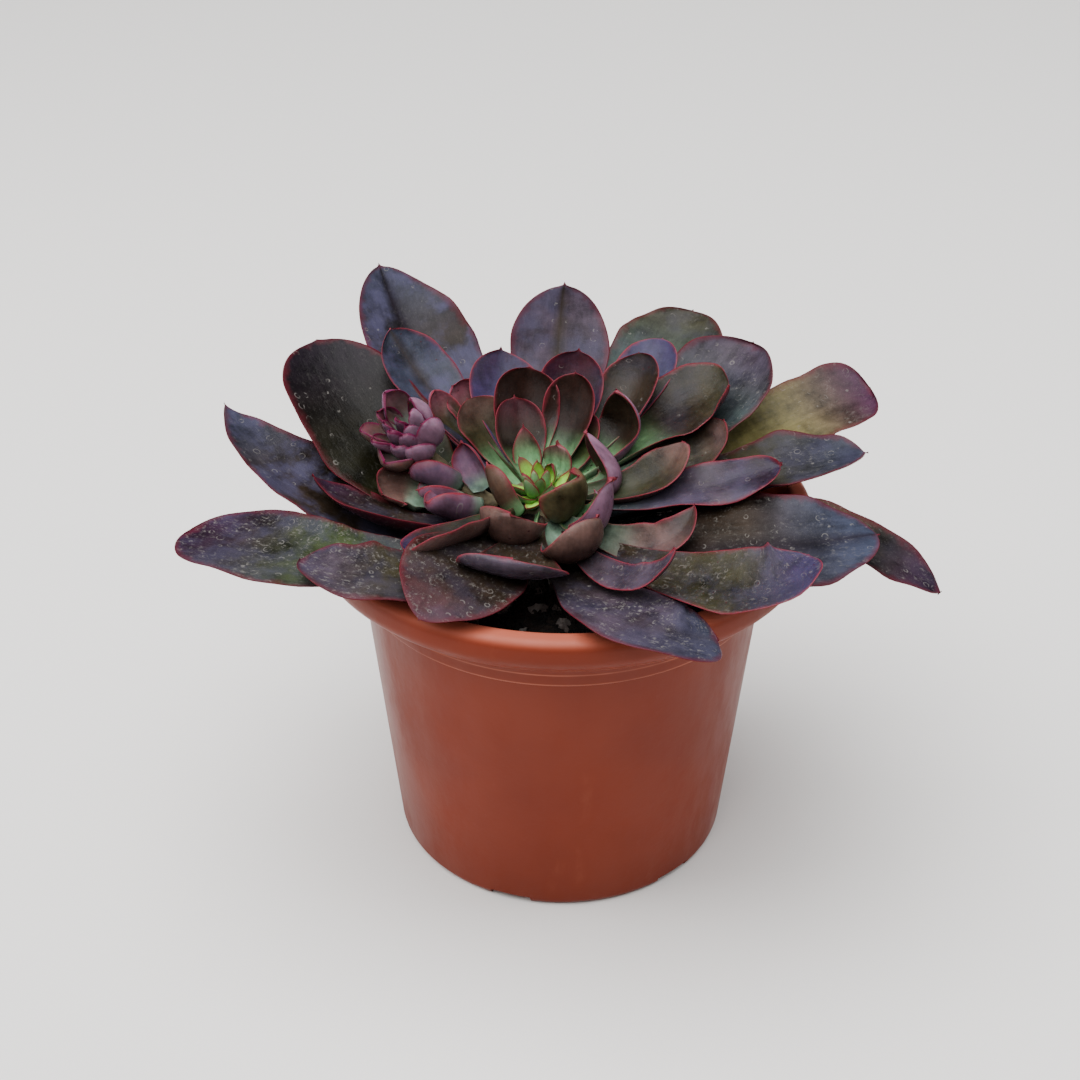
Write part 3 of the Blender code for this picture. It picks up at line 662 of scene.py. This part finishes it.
# Tones of the plant's flesh, from the darkest outer blades to the heart.
TONES = {
    "ink": (18, 12, 19), "plum": (36, 20, 36), "wine": (50, 21, 28), "umber": (34, 26, 19),
    "forest": (15, 14, 5), "olive": (40, 37, 23), "moss": (43, 51, 28), "slate": (42, 44, 56),
    "violet": (40, 31, 58), "heather": (54, 45, 55), "teal": (48, 61, 57), "tan": (76, 72, 50),
    "sage": (98, 120, 102), "fern": (100, 142, 98), "lime": (122, 172, 64), "lavender": (108, 78, 96),
    "rose": (106, 58, 70), "clay": (76, 56, 51), "mauve": (86, 62, 78), "spring": (74, 66, 46),
    "russet": (29, 15, 11), "bark": (58, 42, 33), "steel": (46, 50, 65), "mulberry": (48, 25, 43),
    "straw": (104, 98, 60),
}
# The stem stands here, in x and y.
STEM = (-6.0, -2.0)


def leaf(name, foot, knee, tip, width, shape, looks, skin, seed, root_radius=11.1, cup=25.0,
         thickness=3.2, stations=44, sides=30):
    """One leaf. Its foot is a compass angle and height beside the stem, or a point of its own."""
    if len(foot) == 2:
        angle = math.radians(foot[0])
        foot = (STEM[0] + root_radius * math.cos(angle), STEM[1] + root_radius * math.sin(angle), foot[1])
    root, middle, end, under, wax_and_sheen, marks, specks = looks
    settings = {
        "Root": tuple(map(float, foot)), "Knee": tuple(map(float, knee)), "Tip": tuple(map(float, tip)),
        "Width": float(width), "Thickness": thickness, "Cup": cup, "Stations": stations, "Sides": sides,
        "Root Colour": paint(*TONES[root]), "Middle Colour": paint(*TONES[middle]),
        "Tip Colour": paint(*TONES[end]), "Under Colour": paint(*TONES[under]), "Skin": skin,
        "Wax And Sheen": wax_and_sheen, "Marks": marks, "Specks": specks, "Seed": float(seed),
    }
    settings.update((word.capitalize(), float(value)) for word, value in shape.items())
    made = grown(name, LEAF_BLADE, settings)
    turned_out = bmesh.new()
    turned_out.from_mesh(made.data)
    bmesh.ops.recalc_face_normals(turned_out, faces=turned_out.faces)
    turned_out.to_mesh(made.data)
    turned_out.free()
    return made


# The colour of the blue patches stands for a waxy coat and a painted sheen together.
outer_skin = leaf_material(
    "purple brown leaf", wax_and_sheen=paint(62, 60, 82), margin=paint(84, 22, 32), lime=paint(132, 128, 122),
    speck=paint(16, 8, 10), margin_width=0.26, blush_width=2.4, Specular_IOR_Level=0.08)
# For each leaf: node, compass angle and height of its foot, knee, tip, width and shape. Then come
# the tones at root, middle, tip and underside, and how much waxy coat with painted sheen, lime and
# specks it has.
OUTER_LEAVES = [
    ("outer_leaf_01", (213, 88.2), (-50, -35, 101.8), (-92, -21, 102), 32,
     dict(roll=-15, cup=14, neck=0.26, belly=0.74, blunt=3.2, point=0.3, ripple=0.8),
     ("olive", "moss", "plum", "wine", 0.4, 1.0, 0.1)),
    ("outer_leaf_02", (178, 85.5), (-59, -4, 102), (-90, 22, 115), 31,
     dict(roll=-15, belly=0.45, blunt=1.7, taper=1.25, point=1.6, ripple=1.0),
     ("umber", "umber", "slate", "wine", 0.7, 0.3, 0.1)),
    ("outer_leaf_03", (198, 96.4), (-41, -15.2, 102.3), (-64, -3, 107.6), 16,
     dict(roll=8, taper=1.2, ripple=1.0), ("ink", "umber", "plum", "wine", 0.3, 0.5, 0.1)),
    ("outer_leaf_04", (166, 89.8), (-44, 8, 107), (-67, 40.5, 125), 35,
     dict(roll=-36, cup=18, blunt=3.0, belly=0.62, point=0.4, ripple=1.2),
     ("moss", "forest", "ink", "plum", 0.0, 0.2, 0.2)),
    ("outer_leaf_05", (122, 85.8), (-35, 45, 109), (-53, 74, 133), 33,
     dict(cup=26, belly=0.6, taper=1.5, crease=1.4, point=1.8),
     ("ink", "umber", "slate", "wine", 0.9, 0.2, 0.1)),
    ("outer_leaf_06", (89, 89.5), (-2, 44, 110), (0, 64, 132), 28,
     dict(cup=20, taper=1.7, crease=1.1, point=2.0),
     ("umber", "heather", "heather", "wine", 0.5, 0.1, 0.1)),
    ("outer_leaf_07", (65, 85.6), (21, 45, 105), (37, 72, 120), 33,
     dict(cup=20, blunt=2.6, point=1.2, ripple=1.4), ("teal", "teal", "olive", "heather", 0.2, 0.3, 0.1)),
    ("outer_leaf_08", (47, 95.5), (28, 25, 105), (52, 46, 122), 37,
     dict(cup=20, blunt=2.8, point=0.6, ripple=1.3),
     ("teal", "teal", "heather", "heather", 0.15, 0.4, 0.1)),
    ("outer_leaf_09", (17, 86.0), (46, 26, 99.6), (84, 41, 111), 25,
     dict(roll=10, cup=22, neck=0.3, blunt=6.0, belly=0.8, point=0.4, ripple=1.6),
     ("teal", "straw", "mulberry", "tan", 0.0, 0.6, 0.2)),
    ("outer_leaf_10", (4, 93.8), (42, 2, 104.5), (78, 3, 112), 26, dict(taper=1.6, point=1.3, ripple=1.4),
     ("teal", "olive", "slate", "wine", 0.3, 0.6, 0.1)),
    ("outer_leaf_11", (338, 85.6), (51, -13, 101.5), (94, -27, 89), 18,
     dict(roll=5, cup=20, blunt=2.8, point=0.3), ("slate", "moss", "plum", "plum", 0.1, 0.7, 0.1)),
    # Its bluer, lighter steel tip is partly the leaf's own tone and partly a painted sheen.
    ("outer_leaf_12", (334, 90.3), (38, -28, 102), (78, -24, 104), 37,
     dict(neck=0.24, roll=20, cup=12, belly=0.6, taper=1.7, crease=1.0, point=1.2, ripple=1.2),
     ("ink", "umber", "steel", "wine", 0.0, 0.5, 0.1)),
    ("outer_leaf_13", (291, 88.8), (14, -54, 101), (36, -62, 98), 28,
     dict(cup=10, blunt=3.6, belly=0.62, point=0.3, crease=0.8, ripple=0.7),
     ("umber", "heather", "slate", "wine", 0.3, 1.4, 0.1)),
    ("outer_leaf_14", (248, 94.0), (-22, -43, 105.4), (-33, -61, 102.3), 29,
     dict(roll=-19, cup=8, belly=0.52, blunt=1.9, taper=1.5, point=0.8, ripple=1.2),
     ("umber", "umber", "wine", "wine", 0.2, 1.1, 0.1)),
    ("outer_leaf_15", (231, 91.4), (-34, -41, 102.4), (-62, -43, 107.4), 24,
     dict(roll=-17, cup=8, neck=0.45, blunt=2.8, point=0.4, ripple=1.0),
     ("umber", "olive", "heather", "wine", 0.3, 1.2, 0.1)),
]
for number, (node, *traits) in enumerate(OUTER_LEAVES, 1):
    blade = leaf(node.replace("outer_leaf", "outer_blade"), *traits, outer_skin, number)
    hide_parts(node)
    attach(blade, "root")

# Large rosette: a short thick stem with the crowded inner leaves round a small light heart. The
# leaves curve up into spoons with a red margin, green at the foot and brown above. The small ones
# between the heart and the side rosette have a foot of their own, given as a point.
inner_skin = leaf_material(
    "green red edged leaf", wax_and_sheen=paint(64, 60, 86), margin=paint(112, 36, 48), lime=paint(124, 118, 112),
    speck=paint(52, 12, 22), margin_width=0.26, blush_width=1.3, Specular_IOR_Level=0.12,
    Subsurface_Weight=0.06, Subsurface_Scale=0.002)
# For each leaf the same as for an outer one, but for the node.
INNER_LEAVES = [
    ((130, 99.5), (-34, 27, 114.5), (-47, 39, 129), 21, dict(cup=35, taper=1.5, crease=1.0),
     ("umber", "slate", "slate", "plum", 0.6, 0.1, 0.1)),
    ((105, 100.0), (-15, 25, 112), (-17, 39, 124), 20, dict(cup=30, taper=1.5, point=2.2, crease=0.8),
     ("slate", "violet", "plum", "plum", 0.5, 0.1, 0.1)),
    ((75, 99.0), (1, 24, 112), (4, 34, 126), 19, dict(cup=40, point=1.8),
     ("umber", "plum", "wine", "plum", 0.2, 0.1, 0.1)),
    ((58, 100.0), (15, 24, 112), (20, 36, 124), 18, dict(cup=45, blunt=2.6),
     ("fern", "umber", "umber", "lavender", 0.15, 0.2, 0.1)),
    ((48, 98.5), (17, 31, 111), (27, 47, 123), 18, dict(cup=30),
     ("teal", "slate", "violet", "plum", 0.6, 0.1, 0.0)),
    ((36, 100.0), (26, 21, 111), (44, 25, 119.5), 26, dict(cup=35, blunt=3.0, ripple=1.2),
     ("fern", "umber", "olive", "wine", 0.1, 0.3, 0.1)),
    ((20, 99.5), (30, 9, 106), (41.5, 12, 116.5), 16, dict(cup=25, roll=14, taper=1.6, point=1.6),
     ("sage", "olive", "clay", "clay", 0.1, 0.3, 0.4)),
    ((-10, 99.5), (29, -9, 107), (55, -7, 113.5), 15, dict(cup=20, roll=20, ripple=1.2),
     ("teal", "heather", "plum", "wine", 0.3, 0.4, 0.1)),
    ((-35, 99.0), (20, -25, 101), (32.5, -18.5, 109), 11, dict(cup=35, roll=36, belly=0.55, taper=1.5),
     ("sage", "clay", "umber", "clay", 0.1, 0.2, 0.2)),
    ((-47, 94.0), (35, -47, 104.5), (57, -49, 113.5), 22,
     dict(roll=24, cup=20, neck=0.2, blunt=2.8, belly=0.7, ripple=0.8, point=0.3),
     ("umber", "olive", "violet", "wine", 0.3, 0.9, 0.1)),
    ((-66, 99.0), (13, -41.5, 102.5), (26.5, -45, 112.5), 9.5, dict(cup=15, roll=25, blunt=1.8, taper=1.3),
     ("umber", "heather", "heather", "heather", 0.15, 0.6, 0.1)),
    ((262, 100.5), (-11, -38.5, 103.5), (-11.5, -48.5, 111.5), 27,
     dict(cup=8, roll=-4, blunt=4.0, neck=0.2, belly=0.74),
     ("umber", "umber", "heather", "heather", 0.1, 0.6, 0.1)),
    ((225, 101.2), (-26, -30, 106.6), (-37, -43, 109.4), 16, dict(cup=50, roll=22, taper=1.5),
     ("moss", "umber", "violet", "clay", 0.1, 0.2, 0.1)),
    ((105, 101.5), (-10, 16, 112), (-9, 25, 125), 19, dict(cup=40, blunt=3.0, point=0.8),
     ("fern", "russet", "russet", "plum", 0.0, 0.05, 0.0)),
    ((75, 102.0), (1, 15, 112), (3, 22, 125), 15, dict(cup=40, blunt=3.0, point=0.8),
     ("fern", "russet", "russet", "plum", 0.0, 0.05, 0.0)),
    ((45, 101.5), (15, 13, 110), (13, 16, 122), 17, dict(cup=60, lip=1.4, blunt=2.8, point=0.5),
     ("fern", "umber", "umber", "lavender", 0.0, 0.05, 0.4)),
    ((10, 101.0), (12.5, -2, 106), (5, 4, 116.5), 17, dict(cup=60, lip=1.2, blunt=2.8, point=0.5),
     ("fern", "moss", "wine", "lavender", 0.0, 0.05, 0.5)),
    ((0, 101.5), (21, -5, 107), (30, 0, 116.5), 16, dict(cup=55, roll=18, lip=1.6, blunt=2.6, point=0.6),
     ("moss", "olive", "clay", "clay", 0.1, 0.1, 0.3)),
    ((-45, 100.5), (8, -18, 103), (11, -17, 115.5), 18, dict(cup=60, roll=24, lip=1.0, ripple=1.6),
     ("fern", "moss", "olive", "lavender", 0.0, 0.05, 0.8)),
    ((-70, 101.0), (2, -12.5, 104), (3.5, -15, 115), 17,
     dict(cup=52, blunt=3.4, ripple=3.2, point=0.6, roll=8),
     ("fern", "fern", "clay", "spring", 0.0, 0.05, 0.6)),
    ((-72, 99.5), (4.5, -27.5, 101), (8, -29, 112), 24, dict(cup=70, roll=20, lip=0.8, ripple=1.4),
     ("sage", "plum", "umber", "clay", 0.0, 0.1, 0.5)),
    ((250, 100.7), (-13, -22.5, 101), (-12.5, -27, 111.5), 20, dict(cup=65, blunt=3.2, roll=-4, ripple=1.4),
     ("fern", "moss", "olive", "clay", 0.0, 0.1, 0.6)),
    ((-10.5, -11.5, 102), (-15, -11, 107.5), (-19.5, -5.5, 113), 8,
     dict(cup=45, roll=30, taper=1.3, neck=0.5), ("fern", "clay", "rose", "bark", 0.0, 0.05, 0.3)),
    ((-21.5, -7.5, 102), (-28, -12, 105), (-34.5, -16.5, 107.5), 9.5,
     dict(cup=80, roll=20, neck=0.6, thickness=5.0, crease=0.0),
     ("sage", "mauve", "rose", "mauve", 0.2, 0.1, 0.2)),
    ((-35, -8, 101), (-41, -5.5, 104), (-46, -10, 105.5), 14, dict(cup=40, blunt=2.8, roll=8, neck=0.5),
     ("sage", "clay", "clay", "clay", 0.0, 0.1, 0.2)),
    ((-28, 1, 103), (-32.5, -2, 108), (-39.5, -3, 108), 8.5,
     dict(cup=80, neck=0.7, roll=10, thickness=5.0, crease=0.0, point=0.5),
     ("sage", "mauve", "rose", "mauve", 0.2, 0.0, 0.2)),
    ((-27, -3, 102), (-31.5, -6, 105), (-37.5, -8, 106), 9, dict(cup=50, neck=0.6, roll=10, thickness=4.0),
     ("sage", "sage", "lavender", "lavender", 0.0, 0.05, 0.2)),
    ((-20.5, -3, 103), (-23, -0.5, 108), (-26, 4, 114), 8,
     dict(cup=45, roll=-70, taper=1.4, neck=0.6, ripple=1.6),
     ("sage", "lavender", "rose", "lavender", 0.6, 0.05, 0.2)),
    ((140, 100.5), (-28, 18, 110), (-34, 22.5, 119), 9, dict(cup=60, roll=-20, neck=0.5),
     ("moss", "olive", "rose", "lavender", 0.0, 0.05, 0.2)),
    ((135, 100.5), (-22, 21, 110), (-30, 27, 118), 14, dict(cup=35, ripple=1.6),
     ("sage", "olive", "rose", "lavender", 0.0, 0.05, 0.2)),
    ((135, 101.0), (-19, 14.5, 108.5), (-25.5, 21, 117.5), 15, dict(cup=35, blunt=2.8, ripple=2.2),
     ("fern", "olive", "clay", "heather", 0.0, 0.05, 0.2)),
    ((110, 102.5), (-11, 11, 109), (-13, 20, 119), 15, dict(cup=45, blunt=2.6),
     ("fern", "umber", "wine", "heather", 0.0, 0.05, 0.1)),
    ((110, 102.5), (-9, 7, 106), (-10.5, 10, 116), 8, dict(cup=55, roll=-15, taper=1.2),
     ("lime", "fern", "rose", "fern", 0.0, 0.0, 0.2)),
    ((75, 103.0), (-2, 6, 105), (-2, 7.5, 112), 9.5, dict(cup=40, blunt=3.4, ripple=1.4),
     ("lime", "fern", "rose", "fern", 0.0, 0.0, 0.1)),
    ((50, 102.5), (4, 10, 107), (7.5, 16, 116.5), 11, dict(cup=45, ripple=1.2),
     ("fern", "moss", "wine", "heather", 0.0, 0.0, 0.1)),
]
# The heart: small leaves that have just opened, in all directions and at all slants. For each:
# compass angle of its foot, knee, tip, width and the tone of its tip.
HEART_LEAVES = [
    (195, (-12, -5.5, 105.5), (-17, -7, 108.5), 5.0, "fern"),
    (230, (-9.5, -9.5, 104.5), (-12.5, -11, 108), 4.2, "fern"),
    (245, (-8, -8, 106), (-9.5, -9.5, 111), 3.6, "lime"),
    (60, (-3, 0.5, 106), (-3, -0.5, 110), 4.6, "rose"),
    (290, (-4, -8.5, 104.5), (-3, -9.5, 109.5), 5.0, "rose"),
    (255, (-7.5, -10, 103.5), (-9, -15, 105), 3.6, "lime"),
    (20, (0, -2, 105), (2, -3, 110), 4.2, "rose"),
    (270, (-6, -6, 106), (-5.5, -8.5, 110.5), 3.4, "lime"),
    (140, (-9, 1, 106), (-11.5, 2.5, 110.5), 4.4, "rose"),
    (330, (-1.5, -6, 104.5), (1, -8, 109), 4.4, "lime"),
    (100, (-6.5, 0, 106), (-6.5, 0, 110.5), 3.8, "lime"),
    (215, (-8.5, -5, 106), (-10.5, -6, 110), 3.4, "lime"),
    (0, (-4.5, -3, 106), (-4, -3.5, 110), 3.0, "lime"),
    (120, (-7, -3.5, 106), (-7.5, -3.5, 110), 2.6, "lime"),
]
HEART_HEIGHT = 102.0
HEART_SHAPE = dict(neck=0.6, belly=0.5, taper=1.6, point=0.7, ripple=0.6, crease=0.1)
# Every leaf of the plant has a number, which gives it marks and waves of its own.
FIRST_INNER, FIRST_HEART = 40, 90
STEM_STEPS = 48
STEM_OUTLINE = [(9.6, 79.0, 0.0), (10.2, 82.0, 1.0), (9.4, 86.0, 1.5), (10.1, 90.0, 1.5),
                (9.5, 94.0, 1.5), (10.0, 98.5, 1.5), (7.5, 102.0, 1.0), (3.0, 104.0, 0.5)]


def joined(name, pieces):
    """Several pieces as one mesh object."""
    first = pieces[0]
    with bpy.context.temp_override(active_object=first, selected_editable_objects=pieces):
        bpy.ops.object.join()
    first.name = name
    first.data.name = name
    return first


stem_finish = new_finish("leafless stem")
where = on_piece(stem_finish)
scars = grain(where.steer("MULTIPLY", (0.2, 0.2, 1.0)), 700.0, 3.0, 0.6)
bark = grain(where, 300.0, 4.0, 0.65)
colour = blended(eased(bark, 0.35, 0.65), paint(70, 62, 42), paint(104, 92, 66))
colour = blended(eased(scars, 0.55, 0.7, 0.0, 0.7), colour, paint(52, 38, 30))
dress(stem_finish, colour, eased(bark, 0.3, 0.7, 0.6, 0.8), bark + scars, 0.5, 0.0005)
stem = spun("stem", rounded(STEM_OUTLINE), STEM_STEPS)
stem.data.transform(Matrix.Translation((STEM[0] / 1000, STEM[1] / 1000, 0.0)))
stem.data.materials.append(stem_finish)
stem.data.shade_smooth()
head = [stem]
for number, (foot, knee, tip, width, shape, looks) in enumerate(INNER_LEAVES, FIRST_INNER):
    head.append(leaf("inner leaf", foot, knee, tip, width, {"ripple": 0.6, **shape}, looks, inner_skin,
                     number, root_radius=5.0, thickness=2.6, stations=30, sides=24))
for number, (turn, knee, tip, width, end) in enumerate(HEART_LEAVES, FIRST_HEART):
    head.append(leaf("heart leaf", (turn, HEART_HEIGHT), knee, tip, width, HEART_SHAPE,
                     ("lime", "lime", end, "fern", 0.0, 0.0, 0.0), inner_skin, number, root_radius=1.0,
                     cup=35.0, thickness=1.2, stations=18, sides=16))
rosette = joined("large_rosette", head)
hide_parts("rosette")
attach(rosette, "root")

# Side rosette: a young head of small egg-shaped leaves that have begun to open, on a short bare
# shoot from the left of the stem. The leaves are lavender with a magenta margin and point.
young_skin = leaf_material(
    "lavender pink leaf", wax_and_sheen=paint(118, 104, 122), margin=paint(86, 14, 50), lime=paint(140, 130, 136),
    speck=paint(80, 16, 44), margin_width=0.45, blush_width=1.3, Specular_IOR_Level=0.18,
    Subsurface_Weight=0.08, Subsurface_Scale=0.002)
SHOOT_PATH = [Vector((-17.6, -0.6, 97.4)), Vector((-24.4, -1.4, 101.3)), Vector((-39.0, 5.0, 112.5))]
SHOOT_RADIUS, FOOT_RADIUS = 2.3, 0.8
SIDE_AXIS = Vector((-0.35, -0.45, 0.82)).normalized()
SIDE_GROWTH = 1.15
FIRST_SIDE = 120
SIDE_SHAPE = {
    "Roll": 0.0, "Thickness": 2.0, "Cup": 64.0, "Neck": 0.6, "Belly": 0.55, "Blunt": 2.2, "Taper": 1.8,
    "Point": 0.8, "Ripple": 0.6, "Crease": 0.0, "Stations": 22, "Sides": 20,
    "Root Colour": paint(*TONES["sage"]), "Middle Colour": paint(*TONES["clay"]),
    "Tip Colour": paint(*TONES["rose"]), "Wax And Sheen": 0.15, "Marks": 0.0, "Specks": 0.6, "Skin": young_skin,
}
# For each leaf: compass angle about the head's own axis, knee and tip as distance from that axis
# and height along it, width, and the tone of its back, all before the head's growth.
SIDE_LEAVES = [
    (-15, (6.8, 2.6), (6.4, 9.2), 9.0, "lavender"),
    (48, (6.4, 3.4), (5.6, 10.2), 9.0, "lavender"),
    (108, (6.5, 4.5), (8.2, 10.4), 9.0, "lavender"),
    (172, (6.6, 2.6), (9.6, 7.6), 9.0, "clay"),
    (243, (6.2, 1.4), (8.4, 5.6), 12.5, "clay"),
    (300, (6.0, 2.0), (6.4, 7.2), 9.0, "lavender"),
    (20, (4.2, 4.4), (3.6, 9.8), 6.5, "lavender"),
    (142, (4.2, 4.0), (5.4, 9.8), 7.5, "clay"),
    (200, (4.6, 3.5), (6.8, 7.6), 6.0, "lavender"),
    (258, (4.0, 3.0), (4.6, 6.8), 6.5, "mauve"),
    (296, (3.2, 3.5), (2.8, 8.0), 5.5, "mauve"),
    (338, (2.8, 4.5), (2.0, 8.0), 4.5, "lavender"),
    (80, (1.4, 5.0), (0.8, 8.6), 4.0, "mauve"),
    (215, (1.8, 4.5), (2.2, 8.2), 4.2, "mauve"),
    (160, (2.4, 5.0), (3.0, 8.8), 4.6, "mauve"),
]


def tube(name, path, radius, rows=18, sides=20):
    """A round shoot along an arch, closed at both ends."""
    start, bend, end = path
    turns = [2 * math.pi * k / sides for k in range(sides)]
    rings = []
    for share in (i / (rows - 1) for i in range(rows)):
        middle = on_arch(start, bend, end, share)
        along = ((bend - start) * (1 - share) + (end - bend) * share).normalized()
        side = Vector((0, 0, 1)).cross(along).normalized()
        over = along.cross(side)
        rings.append([middle + (side * math.cos(turn) + over * math.sin(turn)) * radius for turn in turns])
    thing = skinned(name, rings)
    thing.data.shade_smooth()
    return thing


shoot = tube("shoot", SHOOT_PATH, SHOOT_RADIUS)
shoot.data.materials.append(stem_finish)
bud = [shoot]
bud_foot = SHOOT_PATH[2]
east = (Vector((1, 0, 0)) - SIDE_AXIS * SIDE_AXIS.x).normalized()
north = SIDE_AXIS.cross(east)
for number, (turn, belly, end, width, back) in enumerate(SIDE_LEAVES, FIRST_SIDE):
    out = east * math.cos(math.radians(turn)) + north * math.sin(math.radians(turn))
    knee, tip = (bud_foot + (out * reach + SIDE_AXIS * rise) * SIDE_GROWTH for reach, rise in (belly, end))
    bud.append(grown("small leaf", LEAF_BLADE, {
        **SIDE_SHAPE, "Root": tuple(bud_foot + out * FOOT_RADIUS), "Knee": tuple(knee), "Tip": tuple(tip),
        "Width": width * SIDE_GROWTH, "Seed": float(number), "Under Colour": paint(*TONES[back])}))
side_rosette = joined("side_rosette", bud)
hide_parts("offset_rosette")
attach(side_rosette, "root")
